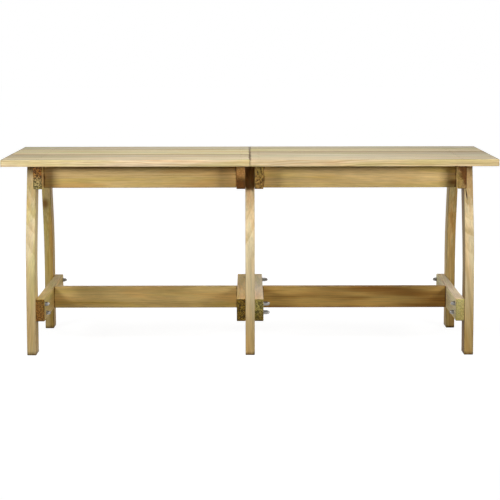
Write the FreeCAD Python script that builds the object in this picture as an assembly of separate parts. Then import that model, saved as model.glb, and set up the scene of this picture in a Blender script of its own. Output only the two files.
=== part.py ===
import FreeCAD, Part
import math
import os

# Garden table of treated pine: a planked top in two halves, carried by three bolted trestle frames.
# Millimetres. X runs along the table, Y from the front to the back, Z up from the floor.
# The origin is on the floor, under the middle of the table.

# Overall size
table_length = 1800.0
table_depth = 740.0
table_height = 720.0

# Top: planks side by side in each half
planks_per_half = 5
plank_thickness = 25.0
plank_gap = 3.0
halves_gap = 0.5
plank_ease = 1.2

# Legs: upright at the foot, then bent inward to a straight slant
leg_thickness = 34.0
leg_width = 80.0
foot_setback = 29.0
end_overhang = 82.0
leg_bend_drop = 425.0
leg_bend_radius = 690.0
leg_slant_deg = 16.0

# Bearers under the planks, and the aprons between them
bearer_thickness = 32.0
bearer_height = 82.0
bearer_setback = 8.0
apron_thickness = 32.0
apron_inset = 60.0

# Lower rails along each frame, and the stretchers between the frames
rail_thickness = 32.0
rail_height = 82.0
rail_floor_gap = 126.0
stretcher_thickness = 32.0

board_ease = 3.0

# Bolts: two through each crossing of a leg with a bearer or a rail
bolt_diameter = 8.0
bolt_hole_clearance = 0.3
bolt_engagement = 10.0
bolt_head_rim = 6.0
bolt_head_height = 4.0
bolt_head_edge = 1.0
bolt_spread = 36.0
rail_bolt_top_edge = 20.0
rail_bolt_bottom_edge = 24.0
bearer_bolt_bottom_edge = 17.0
washer_rim = 4.0
washer_thickness = 1.6
nut_wall = 2.5
nut_height = 6.5
nut_bore_clearance = 0.15
dome_neck = 2.25
dome_inset = 0.25

# Countersunk wood screws
screw_shank_radius = 2.5
screw_head_radius = 4.5
screw_head_height = 3.2
screw_point_length = 8.0
screw_sink = 0.5
screw_clearance = 0.15
screw_slot_length = 5.0
screw_slot_width = 1.2
screw_slot_depth = 1.5
plank_screw_length = 50.0
plank_screw_edge = 28.0
frame_screw_length = 80.0
frame_screw_edge = 20.0
cross_fastener_gap = 3.0

# Levels and faces that several pieces share
half_length = table_length / 2
half_depth = table_depth / 2
planks_under = table_height - plank_thickness
bearer_bottom = planks_under - bearer_height
rail_top = rail_floor_gap + rail_height
leg_slant = math.radians(leg_slant_deg)
bend_start = planks_under - leg_bend_drop
bend_end = bend_start + leg_bend_radius * math.sin(leg_slant)
foot_face = half_depth - foot_setback
bearer_end = half_depth - bearer_setback
apron_face = bearer_end - apron_inset
leg_end_face = half_length - end_overhang
leg_inner_face = leg_end_face - leg_thickness
screw_tip_level = table_height - screw_sink - plank_screw_length
cross_level = screw_tip_level - cross_fastener_gap

up = FreeCAD.Vector(0, 0, 1)
down = FreeCAD.Vector(0, 0, -1)
nodes = {}
cuts = {}


def board(x_range, y_range, z_range, ease):
    """A straight board with all its edges rounded over."""
    low = FreeCAD.Vector(x_range[0], y_range[0], z_range[0])
    size = [high - start for start, high in (x_range, y_range, z_range)]
    solid = Part.makeBox(*size, low)
    return solid.makeFillet(ease, solid.Edges)


def turned(outline):
    """A solid of revolution about Z from edges in the XZ plane that end on the axis."""
    first = outline[0].Vertexes[0].Point
    last = outline[-1].Vertexes[-1].Point
    face = Part.Face(Part.Wire(outline + [Part.makeLine(last, first)]))
    return face.revolve(FreeCAD.Vector(0, 0, 0), up, 360)


def path(points):
    """Straight edges through (radius, height) points in the XZ plane."""
    corners = [FreeCAD.Vector(radius, 0, height) for radius, height in points]
    return [Part.makeLine(start, end) for start, end in zip(corners, corners[1:])]


def cap(radius, rim_height, crown_height):
    """The edge of a rounded crown, from its rim up to its top on the axis."""
    rise = crown_height - rim_height
    ball = (radius ** 2 + rise ** 2) / (2 * rise)
    half_angle = math.atan2(radius, ball - rise) / 2
    sag = ball * (1 - math.cos(half_angle))
    middle = FreeCAD.Vector(ball * math.sin(half_angle), 0, crown_height - sag)
    rim = FreeCAD.Vector(radius, 0, rim_height)
    crown = FreeCAD.Vector(0, 0, crown_height)
    return Part.Arc(rim, middle, crown).toShape()


def placed(shape, point, axis):
    """A copy of a shape made along Z, moved to a point and turned along an axis."""
    copy = shape.copy()
    copy.Placement = FreeCAD.Placement(point, FreeCAD.Rotation(up, axis))
    return copy


def cut_later(node, tool):
    cuts.setdefault(node, []).append(tool)


def group(name, solids):
    nodes[name] = Part.makeCompound(solids)


# Wood screws, along Z from the top of the head to the point
def screw(length):
    outline = path([
        (0, 0),
        (screw_head_radius, 0),
        (screw_shank_radius, screw_head_height),
        (screw_shank_radius, length - screw_point_length),
        (0, length),
    ])
    solid = turned(outline)
    for size_x, size_y in ((screw_slot_length, screw_slot_width), (screw_slot_width, screw_slot_length)):
        corner = FreeCAD.Vector(-size_x / 2, -size_y / 2, 0)
        solid = solid.cut(Part.makeBox(size_x, size_y, screw_slot_depth, corner))
    return solid


def screw_hole(length):
    head = screw_head_radius + screw_clearance
    shank = screw_shank_radius + screw_clearance
    outline = path([
        (0, -screw_sink),
        (head, -screw_sink),
        (head, 0),
        (shank, screw_head_height),
        (shank, length - screw_point_length),
        (0, length + screw_clearance),
    ])
    return turned(outline)


def drive_screw(length, face_point, axis, boards):
    """Sinks a screw below a face and drills the boards that it passes through."""
    seat = face_point + axis * screw_sink
    for node in boards:
        cut_later(node, placed(screw_hole(length), seat, axis))
    return placed(screw(length), seat, axis)


# Bolts and what goes on them, along Z from the head's outer face
def bolt(length):
    radius = bolt_diameter / 2
    head_radius = radius + bolt_head_rim
    rim = path([(0, 0), (head_radius, 0), (head_radius, bolt_head_edge)])
    head = turned(rim + [cap(head_radius, bolt_head_edge, bolt_head_height)])
    head.rotate(FreeCAD.Vector(0, 0, 0), FreeCAD.Vector(1, 0, 0), 180)
    head.translate(FreeCAD.Vector(0, 0, bolt_head_height))
    shank = Part.makeCylinder(radius, length - bolt_head_height, FreeCAD.Vector(0, 0, bolt_head_height))
    return head.fuse(shank).removeSplitter()


def washer():
    outer = Part.makeCylinder(bolt_diameter / 2 + washer_rim, washer_thickness)
    return outer.cut(Part.makeCylinder(bolt_diameter / 2 + bolt_hole_clearance, washer_thickness))


def hexagon(height):
    across_corners = (bolt_diameter + 2 * nut_wall) / math.cos(math.pi / 6)
    corners = []
    for number in range(7):
        angle = number * math.pi / 3
        corners.append(FreeCAD.Vector(math.cos(angle), math.sin(angle), 0) * (across_corners / 2))
    return Part.Face(Part.makePolygon(corners)).extrude(FreeCAD.Vector(0, 0, height))


def plain_nut():
    bore = Part.makeCylinder(bolt_diameter / 2 + nut_bore_clearance, nut_height)
    return hexagon(nut_height).cut(bore)


def dome_nut():
    radius = bolt_diameter / 2 + nut_wall - dome_inset
    shoulder = nut_height + dome_neck
    wall = path([(0, 0), (radius, 0), (radius, shoulder)])
    dome = turned(wall + [cap(radius, shoulder, shoulder + radius)])
    bore_depth = bolt_engagement + nut_bore_clearance
    bore = Part.makeCylinder(bolt_diameter / 2 + nut_bore_clearance, bore_depth)
    return hexagon(nut_height).fuse(dome).cut(bore)


# Top planks, numbered from the front of each half
plank_width = (table_depth - (planks_per_half - 1) * plank_gap) / planks_per_half
plank_fronts = [-half_depth + number * (plank_width + plank_gap) for number in range(planks_per_half)]
half_x = {"left": (-half_length, -halves_gap / 2), "right": (halves_gap / 2, half_length)}
for half, x_range in half_x.items():
    for number, front in enumerate(plank_fronts, start=1):
        y_range = (front, front + plank_width)
        nodes[f"plank_{half}_{number}"] = board(x_range, y_range, (planks_under, table_height), plank_ease)


# Three frames: where the legs stand, where the boards bolted to them lie, and which way the bolts point
def board_beside(face, thickness, outward):
    """The X range of a board that lies against a leg's face."""
    return tuple(sorted((face, face + outward * thickness)))


frames = {
    "left": {"leg": (-leg_end_face, -leg_inner_face), "beside": {"left_end": 1}, "bolts_point": 1},
    "middle": {
        "leg": (-leg_thickness / 2, leg_thickness / 2),
        "beside": {"left_middle": -1, "right_middle": 1},
        "bolts_point": 1,
    },
    "right": {"leg": (leg_inner_face, leg_end_face), "beside": {"right_end": -1}, "bolts_point": -1},
}
bearer_x = {}
rail_x = {}
for frame in frames.values():
    for place, outward in frame["beside"].items():
        face = frame["leg"][1] if outward > 0 else frame["leg"][0]
        bearer_x[place] = board_beside(face, bearer_thickness, outward)
        rail_x[place] = board_beside(face, rail_thickness, outward)
bearer_y = (-bearer_end, bearer_end)
bearer_z = (bearer_bottom, planks_under)
rail_y = (-foot_face, foot_face)
rail_z = (rail_floor_gap, rail_top)
for place, x_range in bearer_x.items():
    nodes[f"bearer_{place}"] = board(x_range, bearer_y, bearer_z, board_ease)
for place, x_range in rail_x.items():
    nodes[f"lower_rail_{place}"] = board(x_range, rail_y, rail_z, board_ease)


# Legs
def leg_shift(height):
    """How far inward of the foot the leg's centre line is at a height."""
    if height <= bend_start:
        return 0.0
    if height <= bend_end:
        return leg_bend_radius - math.sqrt(leg_bend_radius ** 2 - (height - bend_start) ** 2)
    return leg_bend_radius * (1 - math.cos(leg_slant)) + (height - bend_end) * math.tan(leg_slant)


def leg_face(side, x, foot_inset, radius):
    """The edges up one narrow face of a leg: upright, arc, slant."""
    def point(inset, height):
        return FreeCAD.Vector(x, side * (foot_face - inset), height)

    def on_arc(angle):
        return point(foot_inset + radius * (1 - math.cos(angle)), bend_start + radius * math.sin(angle))

    arc_end_inset = foot_inset + radius * (1 - math.cos(leg_slant))
    arc_end_height = bend_start + radius * math.sin(leg_slant)
    top_inset = arc_end_inset + (planks_under - arc_end_height) * math.tan(leg_slant)
    return [
        Part.makeLine(point(foot_inset, 0), point(foot_inset, bend_start)),
        Part.Arc(on_arc(0), on_arc(leg_slant / 2), on_arc(leg_slant)).toShape(),
        Part.makeLine(on_arc(leg_slant), point(top_inset, planks_under)),
    ]


def is_bend_line(edge):
    """Whether an edge only marks where a leg's flat face runs smoothly into its bend."""
    ends = [vertex.Point for vertex in edge.Vertexes]
    across = abs(ends[0].x - ends[1].x) > leg_thickness / 2
    return across and board_ease < ends[0].z < planks_under - board_ease


def leg(x_range, side):
    """A leg; side is -1 at the front of the table and 1 at the back."""
    outer = leg_face(side, x_range[0], 0, leg_bend_radius + leg_width / 2)
    inner = leg_face(side, x_range[0], leg_width, leg_bend_radius - leg_width / 2)
    foot = Part.makeLine(outer[0].Vertexes[0].Point, inner[0].Vertexes[0].Point)
    top = Part.makeLine(outer[-1].Vertexes[-1].Point, inner[-1].Vertexes[-1].Point)
    profile = Part.Face(Part.Wire(Part.__sortEdges__(outer + inner + [foot, top])))
    solid = profile.extrude(FreeCAD.Vector(x_range[1] - x_range[0], 0, 0))
    return solid.makeFillet(board_ease, [edge for edge in solid.Edges if not is_bend_line(edge)])


sides = {"front": -1, "back": 1}
for name, frame in frames.items():
    for side_name, side in sides.items():
        nodes[f"leg_{name}_{side_name}"] = leg(frame["leg"], side)

# Aprons and stretchers, butted between the boards of two frames
spans = {"left": ("left_end", "left_middle"), "right": ("right_middle", "right_end")}
for half, (low_place, high_place) in spans.items():
    apron_x = (bearer_x[low_place][1], bearer_x[high_place][0])
    for side_name, side in sides.items():
        y_range = tuple(sorted((side * apron_face, side * (apron_face - apron_thickness))))
        nodes[f"apron_{half}_{side_name}"] = board(apron_x, y_range, bearer_z, board_ease)
    stretcher_x = (rail_x[low_place][1], rail_x[high_place][0])
    y_range = (-stretcher_thickness / 2, stretcher_thickness / 2)
    nodes[f"stretcher_{half}"] = board(stretcher_x, y_range, rail_z, board_ease)


# Bolted joints: the bolt heads are drawn in flush, the nuts stand on the other face
def joint_bolts(frame_name, kind, board_x, heights, side, side_name):
    """Two bolts through a leg and the boards beside it, with their washers and nuts."""
    frame = frames[frame_name]
    boards = [f"{kind}_{place}" for place in frame["beside"]] + [f"leg_{frame_name}_{side_name}"]
    faces = [x for place in frame["beside"] for x in board_x[place]] + list(frame["leg"])
    pointing = frame["bolts_point"]
    head_face = min(faces) if pointing > 0 else max(faces)
    grip = max(faces) - min(faces)
    axis = FreeCAD.Vector(pointing, 0, 0)
    extra_nut = nut_height if len(frame["beside"]) > 1 else 0.0
    length = grip + washer_thickness + extra_nut + bolt_engagement
    centre = foot_face - leg_width / 2 - leg_shift(sum(heights) / len(heights))
    made = []
    for height, outward in zip(heights, (1, -1)):
        start = FreeCAD.Vector(head_face, side * (centre + outward * bolt_spread / 2), height)
        hole = Part.makeCylinder(bolt_diameter / 2 + bolt_hole_clearance, grip)
        recess_radius = bolt_diameter / 2 + bolt_head_rim + bolt_hole_clearance
        recess = Part.makeCylinder(recess_radius, bolt_head_height)
        for node in boards:
            cut_later(node, placed(hole.fuse(recess), start, axis))
        seat = start + axis * grip
        pieces = {"bolts": placed(bolt(length), start, axis), "washers": placed(washer(), seat, axis)}
        seat = seat + axis * washer_thickness
        if extra_nut:
            pieces["plain_nuts"] = placed(plain_nut(), seat, axis)
            seat = seat + axis * extra_nut
        pieces["dome_nuts"] = placed(dome_nut(), seat, axis)
        made.append(pieces)
    return made


rail_bolt_heights = (rail_top - rail_bolt_top_edge, rail_floor_gap + rail_bolt_bottom_edge)
bearer_bolt_heights = (cross_level - bolt_diameter / 2, bearer_bottom + bearer_bolt_bottom_edge)
for name in frames:
    fasteners = {}
    for side_name, side in sides.items():
        made = joint_bolts(name, "lower_rail", rail_x, rail_bolt_heights, side, side_name)
        made += joint_bolts(name, "bearer", bearer_x, bearer_bolt_heights, side, side_name)
        for pieces in made:
            for kind, solid in pieces.items():
                fasteners.setdefault(kind, []).append(solid)
    for kind, solids in fasteners.items():
        group(f"{kind}_{name}_frame", solids)

# Screws down through the planks into the bearers
for half, places in spans.items():
    screws = []
    for place in places:
        x = sum(bearer_x[place]) / 2
        for number, front in enumerate(plank_fronts, start=1):
            for y in (front + plank_screw_edge, front + plank_width - plank_screw_edge):
                start = FreeCAD.Vector(x, y, table_height)
                boards = [f"plank_{half}_{number}", f"bearer_{place}"]
                screws.append(drive_screw(plank_screw_length, start, down, boards))
    group(f"plank_screws_{half}", screws)

# Screws through the bearers into the aprons, and through the lower rails into the stretchers
apron_screw_heights = (cross_level - screw_shank_radius, bearer_bottom + frame_screw_edge)
stretcher_screw_heights = (rail_top - frame_screw_edge, rail_floor_gap + frame_screw_edge)
apron_middle = apron_face - apron_thickness / 2
for half, (low_place, high_place) in spans.items():
    apron_screws = []
    stretcher_screws = []
    for place, pointing in ((low_place, 1), (high_place, -1)):
        axis = FreeCAD.Vector(pointing, 0, 0)
        bearer_face = bearer_x[place][0] if pointing > 0 else bearer_x[place][1]
        rail_face = rail_x[place][0] if pointing > 0 else rail_x[place][1]
        for side_name, side in sides.items():
            for z in apron_screw_heights:
                start = FreeCAD.Vector(bearer_face, side * apron_middle, z)
                boards = [f"bearer_{place}", f"apron_{half}_{side_name}"]
                apron_screws.append(drive_screw(frame_screw_length, start, axis, boards))
        for z in stretcher_screw_heights:
            start = FreeCAD.Vector(rail_face, 0, z)
            boards = [f"lower_rail_{place}", f"stretcher_{half}"]
            stretcher_screws.append(drive_screw(frame_screw_length, start, axis, boards))
    group(f"apron_screws_{half}", apron_screws)
    group(f"stretcher_screws_{half}", stretcher_screws)

# Drill the boards and write every piece
os.makedirs("parts", exist_ok=True)
for name, shape in nodes.items():
    if name in cuts:
        shape = shape.cut(cuts[name])
    shape.exportStep(f"parts/{name}.step")
    state = "valid" if shape.isValid() else "NOT VALID"
    print(name, len(shape.Solids), "solids", state, round(shape.Volume))
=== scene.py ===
import math
import random

import bpy
from mathutils import Matrix, Vector


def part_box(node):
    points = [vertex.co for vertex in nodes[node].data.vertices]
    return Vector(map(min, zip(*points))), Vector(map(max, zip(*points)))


# A garden table of treated pine in a white studio.
# Metres, in the part's own frame: X along the table, Y from the front to the back, Z up.

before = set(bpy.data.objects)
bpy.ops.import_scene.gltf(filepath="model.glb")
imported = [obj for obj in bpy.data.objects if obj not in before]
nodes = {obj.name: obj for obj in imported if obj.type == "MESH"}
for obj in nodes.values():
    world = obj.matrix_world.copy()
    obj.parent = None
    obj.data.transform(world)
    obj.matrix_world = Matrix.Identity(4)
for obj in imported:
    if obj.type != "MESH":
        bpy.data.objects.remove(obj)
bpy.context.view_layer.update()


def linear(red, green, blue):
    """A shader colour from screen values of 0 to 255."""
    channels = []
    for value in (red, green, blue):
        value /= 255
        channels.append(value / 12.92 if value <= 0.04045 else ((value + 0.055) / 1.055) ** 2.4)
    return (*channels, 1.0)


def grey(value):
    """A neutral shader colour."""
    return (value, value, value, 1.0)


class Tree:
    """Short ways to add shader nodes, each input given as a value or as another node's output."""

    def __init__(self, tree):
        self.nodes = tree.nodes
        self.links = tree.links

    def put(self, socket, value):
        if isinstance(value, bpy.types.NodeSocket):
            self.links.new(value, socket)
        else:
            socket.default_value = value

    def add(self, kind, inputs=None, **settings):
        node = self.nodes.new(kind)
        for name, value in settings.items():
            setattr(node, name, value)
        for key, value in (inputs or {}).items():
            self.put(node.inputs[key], value)
        return node

    def math(self, operation, *values):
        node = self.add("ShaderNodeMath", dict(enumerate(values)), operation=operation)
        return node.outputs[0]

    def vector(self, operation, *values):
        node = self.add("ShaderNodeVectorMath", dict(enumerate(values)), operation=operation)
        return node.outputs["Value" if operation == "LENGTH" else "Vector"]

    def split(self, vector):
        return self.add("ShaderNodeSeparateXYZ", {0: vector}).outputs

    def join(self, x=0.0, y=0.0, z=0.0):
        return self.add("ShaderNodeCombineXYZ", {0: x, 1: y, 2: z}).outputs[0]

    def noise(self, place, cells, detail, output="Fac"):
        """Noise at a place, with its cells per metre along each axis and its layers of finer detail."""
        place = self.vector("MULTIPLY", place, cells)
        inputs = {"Vector": place, "Scale": 1.0, "Detail": detail}
        return self.add("ShaderNodeTexNoise", inputs).outputs[output]

    def wobble(self, place, cells, detail, reach):
        """A noise vector about zero, scaled along each axis."""
        noise = self.noise(place, cells, detail, "Color")
        return self.vector("MULTIPLY", self.vector("SUBTRACT", noise, (0.5, 0.5, 0.5)), reach)

    def ramp(self, value, low, high, out_low=0.0, out_high=1.0):
        """A smooth step from one value to another."""
        inputs = {"Value": value, "From Min": low, "From Max": high, "To Min": out_low, "To Max": out_high}
        return self.add("ShaderNodeMapRange", inputs, interpolation_type="SMOOTHSTEP").outputs[0]

    def mix(self, factor, first, second, blend="MIX"):
        node = self.add("ShaderNodeMix", {0: factor, 6: first, 7: second}, data_type="RGBA", blend_type=blend)
        return node.outputs[2]

    def tint(self, color, factor, tint):
        """A colour multiplied by a tint, as far as the factor says."""
        return self.mix(factor, color, tint, "MULTIPLY")

    def shade(self, color, amount):
        """A colour multiplied by a number."""
        shade = self.add("ShaderNodeCombineColor", {0: amount, 1: amount, 2: amount}).outputs[0]
        return self.tint(color, 1.0, shade)


def new_material(name):
    """A material, its shader tree and its main shader."""
    material = bpy.data.materials.new(name)
    material.use_nodes = True
    tree = Tree(material.node_tree)
    return material, tree, tree.nodes["Principled BSDF"]


def dress(node, material):
    """Gives a CAD node its material."""
    slots = nodes[node].data.materials
    slots.clear()
    slots.append(material)


# Pine: a place in a board is measured from its log's centre line,
# with X, Y and Z along the board's length, width and thickness
PINE_INPUTS = {
    "Place": "Vector", "Facing": "Vector", "Pith": "Vector", "Above Floor": "Float", "Facing Up": "Float",
    "Half Length": "Float", "Seed": "Float", "Ring": "Float", "Heart": "Float",
    "Early": "Color", "Late": "Color", "Heart Tint": "Color", "Patch Tint": "Color", "Blush Tint": "Color",
    "Side Lighting Tint": "Color", "End Tint": "Color", "End Low Tint": "Color", "End Slope": "Float",
    "Mottle": "Float", "Low Shade": "Float", "Knot 1": "Vector", "Knot 2": "Vector", "Crack": "Vector",
}
PINE_OUTPUTS = {"Color": "Color", "Roughness": "Float", "Height": "Float"}
PINE_SPECULAR = 0.22
BUMP_DEPTH = 0.0005

# Noises in the wood: cells per metre along each axis, and layers of finer detail
GRAIN = {
    "bend": ((1.6, 6.0, 6.0), 1.0),
    "ripple": ((7.0, 45.0, 45.0), 2.0),
    "streak": ((1.3, 38.0, 38.0), 3.0),
    "fibre": ((9.0, 420.0, 420.0), 2.0),
    "speckle": ((18.0, 190.0, 190.0), 2.0),
    "patch": ((2.4, 30.0, 30.0), 2.0),
    "blush": ((3.4, 22.0, 22.0), 2.0),
    "feather": ((4.0, 110.0, 110.0), 3.0),
    "stain": ((60.0, 60.0, 60.0), 2.0),
    "fleck": ((180.0, 180.0, 180.0), 1.0),
}
NOISE_MIDDLE = 0.5
ACROSS_LOG = (0.0, 1.0, 1.0)
BEND_REACH = (0.0, 0.022, 0.022)
RIPPLE_REACH = (0.0, 0.005, 0.005)
STAIN_REACH = (0.02, 0.02, 0.02)
# The smallest length to divide by, for boards with no knot or crack
LEAST = 0.00001

# Growth rings: how unevenly they are spaced, how often that changes, and where each one darkens and ends
RING_UNEVENNESS = 2.4
RING_CHANGES = 0.23
RING_DARKENS = (0.25, 0.9)
RING_LINE = (0.92, 1.0)
WEAKEST_RING = 0.4

# Knots, longer along the grain: their edge and how far they push the rings, in radii, and the halo about them
KNOT_SHAPE = (0.62, 1.0, 0.0)
KNOT_EDGE = (0.2, 1.4)
KNOT_PUSH = 0.7
KNOT_HALO_FALL = 0.3
KNOT_HALO_SHADE = 0.16
KNOT_COLOR = linear(150, 111, 57)

# Drying crack: half its width, and its edge in shares of that
CRACK_HALF_WIDTH = 0.0026
CRACK_EDGE = (0.5, 1.0)
CRACK_COLOR = linear(52, 34, 18)

# Heartwood, patches and shades: ramps from one noise value to another, and from one shade to another
HEART_FEATHER = 0.07
HEART_EDGE = (-0.012, 0.006)
PATCH_EDGE = (0.42, 0.66)
BLUSH_EDGE = (0.45, 0.68)
STREAK_SHADES = (0.25, 0.75, 0.88, 1.12)
FIBRE_SHADES = (0.2, 0.8, -0.07, 0.07)
SPECKLE_SHADES = (0.3, 0.7, -0.08, 0.08)
FLECK_SHADES = (0.36, 0.64, -0.5, 0.5)
FLECK_RING_SHADE = 0.8
FLECK_LIFT = 0.2
DARKEST_FLECK = 0.3

# Which way a surface faces, from hardly to fully
END_FACING = (0.35, 0.75)
SIDE_FACING = (0.6, 0.8)
FACE_FACING = (0.5, 0.8)
EDGE_FACING = (0.80, 0.95)
UNDER_FACING = (-0.98, -0.8)

# Treatment soaked into the ends, wear, painted shade on undersides and on low parts towards the floor, and a
# darker foot
SOAK_DEPTH = (0.001, 0.006)
SOAK_RAGGEDNESS = 0.012
SOAK_STRENGTH = 0.8
SOAK_ON_SIDES = 0.2
END_LEVELS = (-0.026, 0.014)
RUB_SHADES = (0.35, 0.65, 0.3, 0.9)
RUBBED_TINT = linear(222, 206, 184)
UNDERSIDE_SHADE_STRENGTH = 0.85
UNDERSIDE_SHADE_TINT = linear(128, 106, 76)
LOW_SHADE_RISE = (0.04, 0.32)
LOW_SHADE_RAGGEDNESS = 0.02
LOW_SHADE_TINT = linear(214, 182, 86)
FOOT_RISE = (0.002, 0.016)
FOOT_STRENGTH = 0.8
FOOT_TINT = linear(126, 112, 84)

# Surface: its roughness and height, and what fibres, summer wood, ends, knots and cracks add to them
ROUGHNESS = 0.66
FIBRE_ROUGHNESS = (0.2, 0.8, -0.06, 0.08)
LATE_ROUGHNESS = -0.12
END_ROUGHNESS = 0.15
FIBRE_HEIGHT = 0.7
LATE_HEIGHT = 0.5
KNOT_HEIGHT = 0.4
CRACK_HEIGHT = -2.5


class Pine(Tree):
    """Pine with growth rings about its log's centre line, so that faces and end grain agree."""

    def __init__(self, group):
        super().__init__(group)
        self.given = self.add("NodeGroupInput").outputs
        self.board = self.vector("ADD", self.given["Place"], self.given["Pith"])
        self.seeded = self.vector("ADD", self.given["Place"], self.join(self.given["Seed"]))
        self.facing = self.split(self.vector("ABSOLUTE", self.given["Facing"]))
        self.ripple = self.wobble(self.seeded, *GRAIN["ripple"], RIPPLE_REACH)
        self.moved = self.vector("ADD", self.board, self.ripple)
        self.streak = self.noise(self.seeded, *GRAIN["streak"])
        self.fibre = self.noise(self.seeded, *GRAIN["fibre"])

    def log_radius(self):
        """The distance from the log's centre line, which bends slowly, with ripples in the rings."""
        bend = self.wobble(self.seeded, *GRAIN["bend"], BEND_REACH)
        bent = self.vector("ADD", self.given["Place"], self.vector("ADD", bend, self.ripple))
        return self.vector("LENGTH", self.vector("MULTIPLY", bent, ACROSS_LOG))

    def knots(self, radius):
        """Knots through the board's thickness: the radius of the rings that flow round them, their cores and
        their halos."""
        cores = 0.0
        halos = 0.0
        for name in ("Knot 1", "Knot 2"):
            knot = self.split(self.given[name])
            away = self.vector("SUBTRACT", self.moved, self.join(knot[0], knot[1]))
            away = self.vector("LENGTH", self.vector("MULTIPLY", away, KNOT_SHAPE))
            away = self.math("DIVIDE", away, self.math("MAXIMUM", knot[2], LEAST))
            fall = self.math("MULTIPLY", self.math("POWER", away, 2.0), -KNOT_HALO_FALL)
            halo = self.math("EXPONENT", fall)
            radius = self.math("MULTIPLY_ADD", halo, self.math("MULTIPLY", knot[2], KNOT_PUSH), radius)
            cores = self.math("ADD", cores, self.ramp(away, *KNOT_EDGE, 1.0, 0.0))
            halos = self.math("ADD", halos, halo)
        return radius, self.math("MINIMUM", cores, 1.0), halos

    def late_wood(self, radius):
        """Each ring darkens outward to a sharp line, some more than others."""
        rings = self.math("DIVIDE", radius, self.given["Ring"])
        inputs = {"W": self.math("MULTIPLY", rings, RING_CHANGES), "Scale": 1.0}
        uneven = self.add("ShaderNodeTexNoise", inputs, noise_dimensions="1D").outputs["Fac"]
        rings = self.math("MULTIPLY_ADD", uneven, RING_UNEVENNESS, rings)
        across = self.math("FRACT", rings)
        number = self.math("ADD", self.math("FLOOR", rings), self.given["Seed"])
        chance = self.add("ShaderNodeTexWhiteNoise", {"W": number}, noise_dimensions="1D").outputs["Value"]
        strength = self.math("MULTIPLY_ADD", chance, 1.0 - WEAKEST_RING, WEAKEST_RING)
        line = self.ramp(across, *RING_LINE, 1.0, 0.0)
        late = self.math("MULTIPLY", self.ramp(across, *RING_DARKENS), line)
        return self.math("MULTIPLY", late, strength)

    def heart_wood(self, radius):
        """The middle of the log, with a feathered edge."""
        feather = self.noise(self.seeded, *GRAIN["feather"])
        feather = self.math("MULTIPLY_ADD", feather, HEART_FEATHER, -HEART_FEATHER * NOISE_MIDDLE)
        heart = self.math("ADD", self.math("SUBTRACT", radius, self.given["Heart"]), feather)
        return self.ramp(heart, *HEART_EDGE, 1.0, 0.0)

    def wood_color(self, late, heart, cores, halos):
        """Rings, heartwood, patches where the treatment took differently, streaks, speckles and knots."""
        patch = self.ramp(self.noise(self.seeded, *GRAIN["patch"]), *PATCH_EDGE)
        blush = self.ramp(self.noise(self.seeded, *GRAIN["blush"], "Color"), *BLUSH_EDGE)
        color = self.mix(late, self.given["Early"], self.given["Late"])
        color = self.tint(color, heart, self.given["Heart Tint"])
        color = self.tint(color, patch, self.given["Patch Tint"])
        color = self.tint(color, blush, self.given["Blush Tint"])
        speckle = self.noise(self.seeded, *GRAIN["speckle"])
        shade = self.ramp(self.streak, *STREAK_SHADES)
        shade = self.math("ADD", shade, self.ramp(self.fibre, *FIBRE_SHADES))
        shade = self.math("ADD", shade, self.ramp(speckle, *SPECKLE_SHADES))
        shade = self.math("SUBTRACT", shade, self.math("MULTIPLY", halos, KNOT_HALO_SHADE))
        return self.mix(cores, self.shade(color, shade), KNOT_COLOR)

    def cut_end(self):
        """Cut ends, which drink the treatment a little way along the grain, mostly on the wide faces."""
        from_middle = self.math("ABSOLUTE", self.split(self.board)[0])
        to_end = self.math("SUBTRACT", self.given["Half Length"], from_middle)
        ragged = self.math("SUBTRACT", self.streak, NOISE_MIDDLE)
        to_end = self.math("MULTIPLY_ADD", ragged, SOAK_RAGGEDNESS, to_end)
        soak = self.ramp(to_end, *SOAK_DEPTH, SOAK_STRENGTH, 0.0)
        soak = self.math("MULTIPLY", soak, self.ramp(self.facing[2], *FACE_FACING, SOAK_ON_SIDES, 1.0))
        return self.math("MAXIMUM", self.ramp(self.facing[0], *END_FACING), soak)

    def end_tint(self, late):
        """The tint of the cut ends, often uneven from top to bottom, with flecks and darker rings."""
        stain = self.wobble(self.seeded, *GRAIN["stain"], STAIN_REACH)
        spot = self.split(self.vector("ADD", self.board, stain))
        level = self.math("MULTIPLY_ADD", spot[2], self.given["End Slope"], spot[1])
        low = self.ramp(level, *END_LEVELS, 1.0, 0.0)
        tint = self.mix(low, self.given["End Tint"], self.given["End Low Tint"])
        flecks = self.ramp(self.noise(self.seeded, *GRAIN["fleck"]), *FLECK_SHADES)
        rings = self.math("MULTIPLY_ADD", late, FLECK_RING_SHADE, -FLECK_LIFT)
        flecks = self.math("SUBTRACT", flecks, rings)
        flecks = self.math("MULTIPLY_ADD", flecks, self.given["Mottle"], 1.0)
        return self.shade(tint, self.math("MAXIMUM", flecks, DARKEST_FLECK))

    def crack(self):
        """A drying crack along the grain, widest in its middle."""
        crack = self.split(self.given["Crack"])
        slit = self.split(self.moved)
        along = self.math("SUBTRACT", slit[0], crack[0])
        along = self.math("DIVIDE", along, self.math("MAXIMUM", crack[2], LEAST))
        width = self.math("SUBTRACT", 1.0, self.math("POWER", self.math("ABSOLUTE", along), 2.0))
        width = self.math("MAXIMUM", self.math("MULTIPLY", width, CRACK_HALF_WIDTH), LEAST)
        across = self.math("ABSOLUTE", self.math("SUBTRACT", slit[1], crack[1]))
        return self.ramp(self.math("DIVIDE", across, width), *CRACK_EDGE, 1.0, 0.0)

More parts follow.
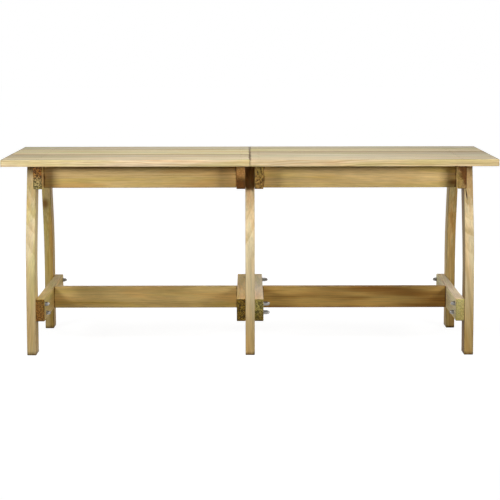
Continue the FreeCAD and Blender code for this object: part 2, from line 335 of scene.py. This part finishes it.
    def wear(self, color):
        """Rubbed edges, painted shade on faces that point down and on low parts towards the floor, and a
        darker band at the very foot.
        """
        squarest = self.math("MAXIMUM", self.facing[0], self.math("MAXIMUM", self.facing[1], self.facing[2]))
        rub = self.ramp(squarest, *EDGE_FACING, 1.0, 0.0)
        rub = self.math("MULTIPLY", rub, self.ramp(self.streak, *RUB_SHADES))
        color = self.tint(color, rub, RUBBED_TINT)
        # Painted shade: faces that point down are darkened.
        underside_shade = self.ramp(self.given["Facing Up"], *UNDER_FACING, UNDERSIDE_SHADE_STRENGTH, 0.0)
        color = self.tint(color, underside_shade, UNDERSIDE_SHADE_TINT)
        # Painted shade: low parts darken and yellow towards the floor, by each board's own amount; the last
        # centimetre or so is darker still.
        ragged = self.math("SUBTRACT", self.fibre, NOISE_MIDDLE)
        rise = self.math("MULTIPLY_ADD", ragged, LOW_SHADE_RAGGEDNESS, self.given["Above Floor"])
        low_shade = self.math("MULTIPLY", self.ramp(rise, *LOW_SHADE_RISE, 1.0, 0.0), self.given["Low Shade"])
        color = self.tint(color, low_shade, LOW_SHADE_TINT)
        return self.tint(color, self.ramp(rise, *FOOT_RISE, FOOT_STRENGTH, 0.0), FOOT_TINT)

    def roughness(self, late, end):
        """Summer wood is smoother, and cut ends are rougher."""
        rough = self.math("MULTIPLY_ADD", late, LATE_ROUGHNESS, ROUGHNESS)
        rough = self.math("ADD", rough, self.ramp(self.fibre, *FIBRE_ROUGHNESS))
        return self.math("MULTIPLY_ADD", end, END_ROUGHNESS, rough)

    def height(self, late, cores, crack):
        """Fibres, summer wood and knots stand up a little, and a crack goes in."""
        height = self.math("MULTIPLY_ADD", self.fibre, FIBRE_HEIGHT, self.math("MULTIPLY", late, LATE_HEIGHT))
        height = self.math("MULTIPLY_ADD", cores, KNOT_HEIGHT, height)
        return self.math("MULTIPLY_ADD", crack, CRACK_HEIGHT, height)


def pine_group():
    """The node group that every board's material shares."""
    group = bpy.data.node_groups.new("pine", "ShaderNodeTree")
    for sockets, way in ((PINE_INPUTS, "INPUT"), (PINE_OUTPUTS, "OUTPUT")):
        for name, kind in sockets.items():
            group.interface.new_socket(name, in_out=way, socket_type=f"NodeSocket{kind}")
    pine = Pine(group)
    radius, cores, halos = pine.knots(pine.log_radius())
    late = pine.late_wood(radius)
    end = pine.cut_end()
    crack = pine.crack()
    color = pine.wood_color(late, pine.heart_wood(radius), cores, halos)
    # Painted light and shade: the side tint makes a board's narrow sides lighter or darker, for how the lamps
    # fall on them
    color = pine.tint(color, pine.ramp(pine.facing[1], *SIDE_FACING), pine.given["Side Lighting Tint"])
    color = pine.tint(color, end, pine.end_tint(late))
    color = pine.mix(crack, color, CRACK_COLOR)
    pine.add("NodeGroupOutput", {
        "Color": pine.wear(color),
        "Roughness": pine.roughness(late, end),
        "Height": pine.height(late, cores, crack),
    })
    return group


shared_pine = pine_group()

# Colours of the pine, as spring wood and summer wood
WOODS = {
    "cream": (linear(238, 219, 175), linear(221, 196, 146)),
    "biscuit": (linear(227, 208, 164), linear(209, 184, 134)),
    "rose": (linear(226, 211, 180), linear(204, 178, 141)),
    "sand": (linear(243, 228, 189), linear(219, 196, 151)),
    "frost": (linear(232, 221, 196), linear(207, 189, 156)),
    "ash": (linear(222, 210, 183), linear(197, 177, 143)),
    "taupe": (linear(212, 196, 166), linear(184, 160, 126)),
    "golden": (linear(239, 206, 142), linear(216, 177, 108)),
    "khaki": (linear(236, 212, 146), linear(210, 180, 114)),
    "olive": (linear(237, 209, 141), linear(213, 179, 111)),
    "brown": (linear(218, 184, 108), linear(180, 142, 78)),
    "sage": (linear(249, 239, 201), linear(229, 213, 166)),
}
# Tints that multiply them, above 255 where they brighten; given as side tints, they paint light and shade on
# the boards' narrow sides
TINTS = {
    "white": linear(255, 255, 255),
    "painted_light": linear(268, 260, 250),
    "apricot": linear(258, 249, 231),
    "blossom": linear(264, 255, 264),
    "shade": linear(160, 147, 112),
    "honey": linear(247, 241, 228),
    "lemon": linear(250, 252, 224),
    "green": linear(240, 246, 220),
    "pink": linear(255, 243, 232),
    "tan": linear(240, 224, 200),
    "umber": linear(196, 172, 142),
    "rust": linear(134, 104, 73),
    "moss": linear(152, 160, 154),
    "amber": linear(176, 154, 132),
    "soot": linear(97, 69, 26),
    "bark": linear(102, 76, 43),
    "straw": linear(172, 166, 156),
    "fern": linear(163, 158, 112),
    "pond": linear(124, 114, 64),
    "peat": linear(150, 140, 112),
    "brick": linear(166, 141, 108),
    "mint": linear(214, 213, 172),
}
AXES = {"X": Vector((1, 0, 0)), "Y": Vector((0, 1, 0)), "Z": Vector((0, 0, 1))}


def log_frame(node, along, through, tilt):
    """The turn from the table to the log that a board was cut from, and the board's middle and half its
    length. The board's length, width and thickness lie along the log's X, Y and Z."""
    low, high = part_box(node)
    length, thickness = AXES[along], AXES[through]
    half_length = (high - low).dot(length) / 2
    turn = Matrix((length, thickness.cross(length), thickness))
    turn = Matrix.Rotation(tilt[0], 3, "Y") @ Matrix.Rotation(tilt[1], 3, "Z") @ turn
    return turn, turn @ ((low + high) / 2), half_length


def pine_board(node, along, through, wood, pith, tilt, seed, ring, heart=0.0, heart_tint="pink",
               patch="green", blush="pink", side="white", end="rust", end_low=None, end_slope=0.0,
               mottle=0.4, low_shade=0.45, knots=(), crack=(0, 0, 0)):
    """Gives a board its own piece of pine.
    along and through are the table's axes along the board and through its thickness.
    pith is where the log's centre line runs, from the board's middle, across its width and thickness.
    tilt is the slant of the grain in the board, ring a growth ring's width and heart the heartwood's radius.
    A knot is its distance along the board, its distance across and its radius.
    A crack is its distance along the board, its distance across and half its length.
    mottle is how flecked its ends are, damp how much painted shade darkens the board towards the floor, and
    side names a tint that paints light or shade on its narrow sides.
    end_slope leans the line between end and end_low, and these and the others name tints."""
    turn, middle, half_length = log_frame(node, along, through, tilt)
    pith = Vector((0, *pith))
    material, tree, shader = new_material(f"pine_{node}")
    where = tree.add("ShaderNodeTexCoord").outputs
    turning = {"Rotation": turn.to_euler()}
    place = tree.add("ShaderNodeMapping", {"Vector": where["Object"], "Location": -middle - pith, **turning})
    facing = tree.add("ShaderNodeMapping", {"Vector": where["Normal"], **turning}, vector_type="VECTOR")
    inputs = {
        "Place": place.outputs[0], "Facing": facing.outputs[0], "Pith": pith,
        "Above Floor": tree.split(where["Object"])[2], "Facing Up": tree.split(where["Normal"])[2],
        "Half Length": half_length, "Seed": seed, "Ring": ring, "Heart": heart,
        "Early": WOODS[wood][0], "Late": WOODS[wood][1],
        "Heart Tint": TINTS[heart_tint], "Patch Tint": TINTS[patch], "Blush Tint": TINTS[blush],
        "Side Lighting Tint": TINTS[side], "End Tint": TINTS[end], "End Low Tint": TINTS[end_low or end],
        "End Slope": end_slope, "Mottle": mottle, "Low Shade": low_shade, "Crack": crack,
    }
    for number, knot in enumerate(knots, start=1):
        inputs[f"Knot {number}"] = knot
    grain = tree.add("ShaderNodeGroup", inputs, node_tree=shared_pine).outputs
    bump = tree.add("ShaderNodeBump", {"Height": grain["Height"], "Distance": BUMP_DEPTH})
    tree.put(shader.inputs["Base Color"], grain["Color"])
    tree.put(shader.inputs["Roughness"], grain["Roughness"])
    tree.put(shader.inputs["Normal"], bump.outputs[0])
    tree.put(shader.inputs["Specular IOR Level"], PINE_SPECULAR)
    dress(node, material)


# How boards differ in the way they were cut from their logs
PITH_SCATTER = (0.02, 0.01)
TILT_SCATTER = (0.015, 0.02)
RING_WIDTHS = (0.0035, 0.0055)
SEEDS = (0, 90)
draw = random.Random(7)


def scatter(reach):
    """A small difference either way."""
    return draw.uniform(-reach, reach)


def cut(pith_width, pith_thickness):
    """How a board was cut from its log: about where the pith lies, and the rest by chance."""
    return {
        "pith": (pith_width + scatter(PITH_SCATTER[0]), pith_thickness + scatter(PITH_SCATTER[1])),
        "tilt": (scatter(TILT_SCATTER[0]), scatter(TILT_SCATTER[1])),
        "ring": draw.uniform(*RING_WIDTHS),
        "seed": draw.uniform(*SEEDS),
    }


def either_way(distance):
    """A distance to one side or to the other."""
    return draw.choice((-distance, distance))


# Planks, from the front of each half to its back; some have a brown band of heartwood along their back edge,
# which is painted shade for the seam behind it
PLANK_WOODS = {
    "left": ("rose", "taupe", "sand", "sand", "frost"),
    "right": ("rose", "ash", "taupe", "sand", "frost"),
}
# Painted light: the planks' front and back edges are tinted lighter
PLANK_SIDE_LIGHTING = {"left": "painted_light", "right": "apricot"}
PLANK_PITH = (0.05, 0.06)
BROWN_EDGED = ("plank_left_2", "plank_left_4", "plank_right_3")
BROWN_EDGE = {"pith": (0.072, 0.012), "tilt": (0, 0.006), "heart": 0.024, "heart_tint": "umber"}
for half, woods in PLANK_WOODS.items():
    for number, wood in enumerate(woods, start=1):
        name = f"plank_{half}_{number}"
        looks = cut(either_way(PLANK_PITH[0]), either_way(PLANK_PITH[1]))
        if name in BROWN_EDGED:
            looks.update(BROWN_EDGE)
        pine_board(name, "X", "Z", wood, side=PLANK_SIDE_LIGHTING[half], end="bark", **looks)

# Legs: wood, distance across to the pith, and looks that differ
# The front ones were cut with the pith behind them, so their grain flows in long curves
BACK_HEART = {"heart": 0.16, "heart_tint": "tan"}
# Side tints paint shade on the front legs' left and right sides, and each leg's amount of painted shade
# towards the floor is set in its looks.
LEG_LOOKS = {
    "left_front": ("cream", 0.16, {
        "pith": (0.035, 0.06), "tilt": (0, -0.06), "ring": 0.013, "heart": 0.098, "heart_tint": "honey",
        "side": "honey",
    }),
    "middle_front": ("cream", -0.16, {
        "pith": (-0.045, 0.06), "tilt": (0, 0.05), "ring": 0.024, "heart": 0.104, "patch": "pink",
        "low_shade": 0.55,
    }),
    "right_front": ("biscuit", -0.16, {
        "pith": (0.03, 0.06), "tilt": (0, 0.1), "ring": 0.013, "heart": 0.096, "heart_tint": "tan",
        "patch": "white", "side": "shade", "low_shade": 0.68, "crack": (0.238, 0.016, 0.024),
    }),
    "left_back": ("khaki", 0.16, {**BACK_HEART, "low_shade": 0.0, "knots": ((0.158, -0.008, 0.015),)}),
    "middle_back": ("khaki", -0.16, BACK_HEART),
    "right_back": ("khaki", 0.16, {**BACK_HEART, "patch": "pink"}),
}
for place, (wood, pith_width, looks) in LEG_LOOKS.items():
    looks = {"patch": "lemon", **cut(pith_width, 0.0), **looks}
    pine_board(f"leg_{place}", "Z", "Y", wood, end="soot", **looks)

# Aprons and stretchers
APRON_KNOTS = {"apron_right_front": ((0.341, 0.016, 0.011),)}
APRON_PITH = (0.14, 0.05)
for half in ("left", "right"):
    for place in ("front", "back"):
        name = f"apron_{half}_{place}"
        knots = APRON_KNOTS.get(name, ())
        pine_board(name, "X", "Y", "golden", patch="lemon", blush="tan", knots=knots, **cut(*APRON_PITH))
STRETCHER_LOOKS = {"left": ("olive", "lemon", (-0.14, 0.05)), "right": ("brown", "umber", (0.14, 0.05))}
for half, (wood, patch, pith) in STRETCHER_LOOKS.items():
    pine_board(f"stretcher_{half}", "X", "Y", wood, patch=patch, **cut(*pith))

# Bearers and lower rails, with the tones of their cut ends
END_PITH = (0.03, 0.02)
END_LOOKS = {
    # The two end bearers' ends are darker above a sloping line: partly their own tone, partly painted shadow
    # of the top.
    "bearer_left_end": ("golden", {"end": "rust", "end_low": "moss", "mottle": 2.0}),
    "bearer_left_middle": ("golden", {"end": "amber", "end_low": "soot"}),
    "bearer_right_middle": ("golden", {"end": "peat", "mottle": 0.8, "pith": (0.012, -0.026), "ring": 0.013}),
    "bearer_right_end": ("golden", {"end": "bark", "end_low": "straw", "end_slope": 2.2}),
    "lower_rail_left_end": ("olive", {"end": "brick", "mottle": 0.8}),
    # Their side tints paint light and shade on the rails' top and bottom faces.
    "lower_rail_left_middle": ("olive", {"end": "pond", "mottle": 1.6, "side": "honey"}),
    "lower_rail_right_middle": ("sage", {"end": "fern", "end_low": "pond", "mottle": 1.1, "side": "blossom"}),
    "lower_rail_right_end": ("sage", {"end": "mint", "mottle": 0.25, "patch": "lemon", "side": "blossom"}),
}
for name, (wood, looks) in END_LOOKS.items():
    pine_board(name, "Y", "X", wood, **{**cut(*END_PITH), **looks})

# Fasteners
ZINC_DARK = linear(100, 98, 94)
ZINC_LIGHT = linear(170, 168, 164)
ZINC_ROUGHNESS = (0.3, 0.7, 0.22, 0.46)
ZINC_CLOUDS = ((260.0, 260.0, 260.0), 3.0)
ZINC_GRAIN = ((1500.0, 1500.0, 1500.0), 2.0)
ZINC_BUMP_DEPTH = 0.0001
ZINC_BUMP_STRENGTH = 0.5


def zinc():
    """Dull zinc plating with fine cloudy grain."""
    material, tree, shader = new_material("zinc_steel")
    place = tree.add("ShaderNodeTexCoord").outputs["Object"]
    cloud = tree.noise(place, *ZINC_CLOUDS)
    bump = tree.add("ShaderNodeBump", {
        "Height": tree.noise(place, *ZINC_GRAIN), "Distance": ZINC_BUMP_DEPTH, "Strength": ZINC_BUMP_STRENGTH,
    })
    tree.put(shader.inputs["Base Color"], tree.mix(cloud, ZINC_DARK, ZINC_LIGHT))
    tree.put(shader.inputs["Roughness"], tree.ramp(cloud, *ZINC_ROUGHNESS))
    tree.put(shader.inputs["Normal"], bump.outputs[0])
    tree.put(shader.inputs["Metallic"], 1.0)
    return material


steel = zinc()
for name in nodes:
    if "screws" in name or name.startswith(("bolts", "washers", "dome_nuts", "plain_nuts")):
        dress(name, steel)


# Studio: white floor and surroundings, and soft lamps
def seen_directly(tree):
    """1 for what the camera or a mirror-like surface sees, 0 for light that falls on the object."""
    path = tree.add("ShaderNodeLightPath").outputs
    seen = tree.math("MAXIMUM", path["Is Camera Ray"], path["Is Glossy Ray"])
    return tree.math("MAXIMUM", seen, path["Is Transmission Ray"])


def floor(size, near, far, near_glow, reflectance, bounce):
    """A white floor that shows the table's shadow faintly, and meets the background without a line.
    It glows fully beyond far and a little less within near, where its reflectance takes the shadow.
    bounce is how much light it throws back at the table."""
    mesh = bpy.data.meshes.new("floor")
    half = size / 2
    corners = [(-half, -half, 0), (half, -half, 0), (half, half, 0), (-half, half, 0)]
    mesh.from_pydata(corners, [], [(0, 1, 2, 3)])
    thing = bpy.data.objects.new("floor", mesh)
    bpy.context.scene.collection.objects.link(thing)
    material, tree, shader = new_material("floor")
    tree.nodes.remove(shader)
    distance = tree.vector("LENGTH", tree.add("ShaderNodeTexCoord").outputs["Object"])
    glow = tree.ramp(distance, near, far, near_glow, 1.0)
    shown = tree.add("ShaderNodeAddShader", {
        0: tree.add("ShaderNodeEmission", {"Color": grey(1.0), "Strength": glow}).outputs[0],
        1: tree.add("ShaderNodeBsdfDiffuse", {"Color": grey(reflectance)}).outputs[0],
    })
    lit = tree.add("ShaderNodeBsdfDiffuse", {"Color": grey(bounce)})
    both = tree.add("ShaderNodeMixShader", {0: seen_directly(tree), 1: lit.outputs[0], 2: shown.outputs[0]})
    tree.put(tree.nodes["Material Output"].inputs["Surface"], both.outputs[0])
    mesh.materials.append(material)


def surroundings(ambient):
    """A white background that lights the table only faintly."""
    world = bpy.data.worlds.new("studio")
    world.use_nodes = True
    bpy.context.scene.world = world
    tree = Tree(world.node_tree)
    strength = tree.ramp(seen_directly(tree), 0.0, 1.0, ambient, 1.0)
    tree.put(tree.nodes["Background"].inputs["Color"], grey(1.0))
    tree.put(tree.nodes["Background"].inputs["Strength"], strength)


def soft_lamp(name, place, aim, size, power, spread_deg):
    """A soft rectangular lamp; size is its width and height."""
    data = bpy.data.lights.new(name, "AREA")
    data.shape = "RECTANGLE"
    data.size, data.size_y = size
    data.energy = power
    data.spread = math.radians(spread_deg)
    lamp = bpy.data.objects.new(name, data)
    lamp.location = place
    lamp.rotation_euler = (Vector(place) - Vector(aim)).to_track_quat("Z", "Y").to_euler()
    lamp.visible_camera = False
    bpy.context.scene.collection.objects.link(lamp)


floor(size=60.0, near=0.9, far=1.8, near_glow=0.92, reflectance=0.22, bounce=0.04)
surroundings(ambient=0.01)

# Lamps: place, aim, size, power in watts and spread in degrees
LAMPS = {
    "left_box": ((-1.83, -1.78, 1.15), (-0.2, 0, 0.6), (0.75, 0.55), 11.5, 120),
    "right_box": ((1.83, -1.78, 1.03), (0.2, 0, 0.6), (0.75, 0.55), 11.2, 120),
    "top_box": ((0, -1.05, 1.85), (0, -0.2, 0.6), (1.7, 0.5), 9.0, 130),
    "overhead_box": ((0, 0.4, 2.6), (0, 0.3, 0.72), (2.4, 1.2), 5.5, 130),
    "back_left_box": ((-1.8, 2.2, 0.55), (-0.2, 0, 0.4), (0.8, 0.3), 14, 180),
    "back_right_box": ((1.8, 2.2, 0.55), (0.2, 0, 0.4), (0.8, 0.3), 14, 180),
    "back_middle_box": ((0, 1.3, 0.62), (0, 0, 0.2), (1.9, 0.12), 1.6, 120),
}
for name, lamp in LAMPS.items():
    soft_lamp(name, *lamp)
bpy.context.scene.view_settings.view_transform = "Standard"

# Camera: the photograph's, on a frame of 500 by 500 pixels
FRAME_PIXELS = 500
FOCAL_PIXELS = 1787.5
CAMERA_PLACE = (-0.010, -6.803, 1.182)
CAMERA_YAW_DEG = -0.087
CAMERA_PITCH_DEG = 7.0
CAMERA_ROLL_DEG = -0.083
camera = bpy.data.objects.new("camera", bpy.data.cameras.new("camera"))
camera.data.lens = FOCAL_PIXELS / FRAME_PIXELS * camera.data.sensor_width
yaw = Matrix.Rotation(math.radians(CAMERA_YAW_DEG), 4, "Z")
pitch = Matrix.Rotation(math.radians(90 - CAMERA_PITCH_DEG), 4, "X")
roll = Matrix.Rotation(math.radians(CAMERA_ROLL_DEG), 4, "Z")
camera.matrix_world = Matrix.Translation(CAMERA_PLACE) @ yaw @ pitch @ roll
bpy.context.scene.collection.objects.link(camera)
bpy.context.scene.camera = camera
